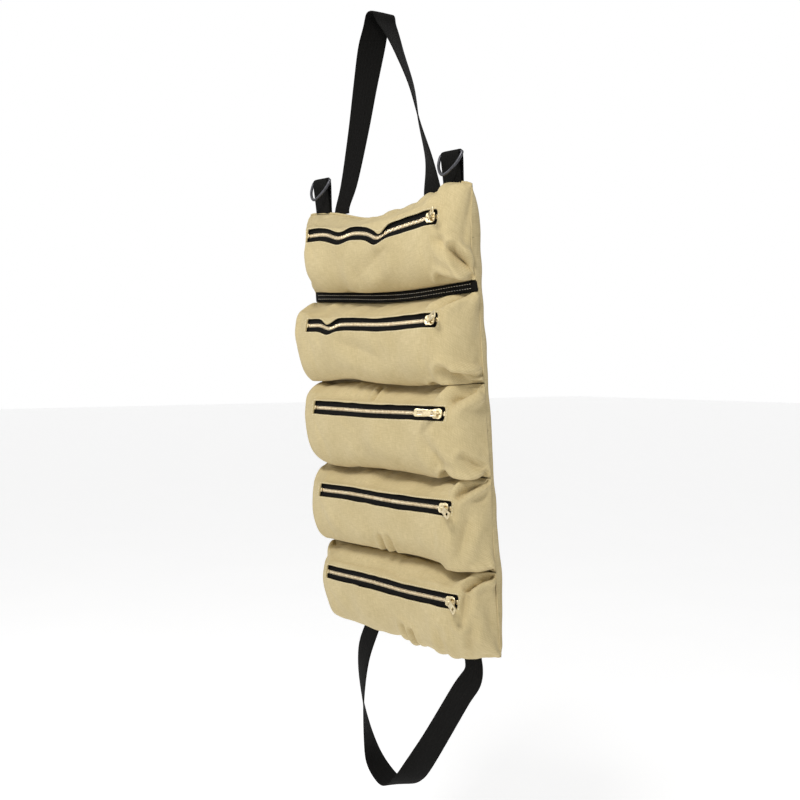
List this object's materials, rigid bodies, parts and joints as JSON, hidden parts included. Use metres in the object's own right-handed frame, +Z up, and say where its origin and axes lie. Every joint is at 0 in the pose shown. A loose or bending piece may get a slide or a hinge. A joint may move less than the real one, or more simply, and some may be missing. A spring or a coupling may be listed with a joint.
{
  "type": "tool roll",
  "caption": "Hanging canvas tool roll with a column of zipped pockets, a webbing loop to hang it by, D-rings on tabs and a webbing loop to close it.",
  "frame": {"origin": "underside of the top of the hanging strap, where it rests on a hook or a bar", "axes": "+Z up; the hanging roll leans 4.8 degrees back at its bottom, which is within half a degree of where it balances; +Y behind its back; the zipped pockets face -Y; +X towards the ends of the zips where the sliders rest closed"},
  "size_m": [0.35, 0.1369, 1.0252],
  "materials": {
    "canvas": "heavy cotton canvas, khaki, plain weave",
    "webbing": "black woven webbing, dull",
    "zip_tape": "black woven zip tape, dull",
    "zip_metal": "pale polished brass",
    "ring_metal": "dark grey, satin"
  },
  "bodies": {
    "hanging_strap": {"hanging_strap": "webbing"},
    "pocket_1": {"back_panel_1": "canvas", "pocket_1": "canvas", "zip_1_upper_tape": "zip_tape", "zip_1_lower_tape": "zip_tape", "zip_1_teeth": "zip_metal", "zip_1_bottom_stop": "zip_metal", "zip_1_top_stop": "zip_metal", "cross_band": "webbing", "left_ring_tab": "webbing", "right_ring_tab": "webbing"},
    "slider_1": {"zip_1_slider": "zip_metal"},
    "pull_1": {"zip_1_pull": "zip_metal"},
    "pocket_2": {"back_panel_2": "canvas", "pocket_2": "canvas", "zip_2_upper_tape": "zip_tape", "zip_2_lower_tape": "zip_tape", "zip_2_teeth": "zip_metal", "zip_2_bottom_stop": "zip_metal", "zip_2_top_stop": "zip_metal"},
    "slider_2": {"zip_2_slider": "zip_metal"},
    "pull_2": {"zip_2_pull": "zip_metal"},
    "pocket_3": {"back_panel_3": "canvas", "pocket_3": "canvas", "zip_3_upper_tape": "zip_tape", "zip_3_lower_tape": "zip_tape", "zip_3_teeth": "zip_metal", "zip_3_bottom_stop": "zip_metal", "zip_3_top_stop": "zip_metal"},
    "slider_3": {"zip_3_slider": "zip_metal"},
    "pull_3": {"zip_3_pull": "zip_metal"},
    "pocket_4": {"back_panel_4": "canvas", "pocket_4": "canvas", "zip_4_upper_tape": "zip_tape", "zip_4_lower_tape": "zip_tape", "zip_4_teeth": "zip_metal", "zip_4_bottom_stop": "zip_metal", "zip_4_top_stop": "zip_metal"},
    "slider_4": {"zip_4_slider": "zip_metal"},
    "pull_4": {"zip_4_pull": "zip_metal"},
    "pocket_5": {"back_panel_5": "canvas", "pocket_5": "canvas", "zip_5_upper_tape": "zip_tape", "zip_5_lower_tape": "zip_tape", "zip_5_teeth": "zip_metal", "zip_5_bottom_stop": "zip_metal", "zip_5_top_stop": "zip_metal"},
    "slider_5": {"zip_5_slider": "zip_metal"},
    "pull_5": {"zip_5_pull": "zip_metal"},
    "left_ring": {"left_ring": "ring_metal"},
    "right_ring": {"right_ring": "ring_metal"},
    "closing_strap": {"closing_strap": "webbing"}
  },
  "joints": [
    {"name": "strap_swing", "type": "hinge", "parent": "hanging_strap", "child": "pocket_1", "pos_m": [0, 0.00643, -0.23428], "axis": [-1, 0, 0], "range_deg": [-80, 50]},
    {"name": "fold_1_2", "type": "hinge", "parent": "pocket_1", "child": "pocket_2", "pos_m": [0, 0.01758, -0.35277], "axis": [1, 0, 0], "range_deg": [0, 60]},
    {"name": "fold_2_3", "type": "hinge", "parent": "pocket_2", "child": "pocket_3", "pos_m": [0, 0.02687, -0.46338], "axis": [1, 0, 0], "range_deg": [0, 60]},
    {"name": "fold_3_4", "type": "hinge", "parent": "pocket_3", "child": "pocket_4", "pos_m": [0, 0.03632, -0.57598], "axis": [1, 0, 0], "range_deg": [0, 60]},
    {"name": "fold_4_5", "type": "hinge", "parent": "pocket_4", "child": "pocket_5", "pos_m": [0, 0.04586, -0.68958], "axis": [1, 0, 0], "range_deg": [0, 60]},
    {"name": "closing_strap_swing", "type": "hinge", "parent": "pocket_5", "child": "closing_strap", "pos_m": [0, 0.05329, -0.79232], "axis": [-1, 0, 0], "range_deg": [-90, 60]},
    {"name": "left_ring_swing", "type": "hinge", "parent": "pocket_1", "child": "left_ring", "pos_m": [-0.141, 0.00291, -0.19243], "axis": [1, 0, 0], "range_deg": [-305, 5]},
    {"name": "right_ring_swing", "type": "hinge", "parent": "pocket_1", "child": "right_ring", "pos_m": [0.141, 0.00291, -0.19243], "axis": [1, 0, 0], "range_deg": [-305, 5]},
    {"name": "zip_1_slide", "type": "slide", "parent": "pocket_1", "child": "slider_1", "axis": [-1, 0, 0], "range_m": [0, 0.26]},
    {"name": "zip_2_slide", "type": "slide", "parent": "pocket_2", "child": "slider_2", "axis": [-1, 0, 0], "range_m": [0, 0.26]},
    {"name": "zip_3_slide", "type": "slide", "parent": "pocket_3", "child": "slider_3", "axis": [-1, 0, 0], "range_m": [0, 0.26]},
    {"name": "zip_4_slide", "type": "slide", "parent": "pocket_4", "child": "slider_4", "axis": [-1, 0, 0], "range_m": [0, 0.26]},
    {"name": "zip_5_slide", "type": "slide", "parent": "pocket_5", "child": "slider_5", "axis": [-1, 0, 0], "range_m": [0, 0.26]},
    {"name": "zip_1_pull_swing", "type": "hinge", "parent": "slider_1", "child": "pull_1", "pos_m": [0.1405, -0.03112, -0.26937], "axis": [-0.1736, 0.1137, 0.9782], "range_deg": [-144, 20]},
    {"name": "zip_2_pull_swing", "type": "hinge", "parent": "slider_2", "child": "pull_2", "pos_m": [0.1405, -0.03219, -0.38881], "axis": [-0.2079, 0.1859, 0.9603], "range_deg": [-152, 12]},
    {"name": "zip_3_pull_swing", "type": "hinge", "parent": "slider_3", "child": "pull_3", "pos_m": [0.1405, -0.02085, -0.49926], "axis": [-0.1045, 0.1848, 0.9772], "range_deg": [-30, 134]},
    {"name": "zip_4_pull_swing", "type": "hinge", "parent": "slider_4", "child": "pull_4", "pos_m": [0.1405, -0.01132, -0.61185], "axis": [0.342, 0.1772, 0.9228], "range_deg": [-158, 6]},
    {"name": "zip_5_pull_swing", "type": "hinge", "parent": "slider_5", "child": "pull_5", "pos_m": [0.1405, -0.00071, -0.7254], "axis": [0.3584, 0.1351, 0.9238], "range_deg": [-156, 8]}
  ]
}
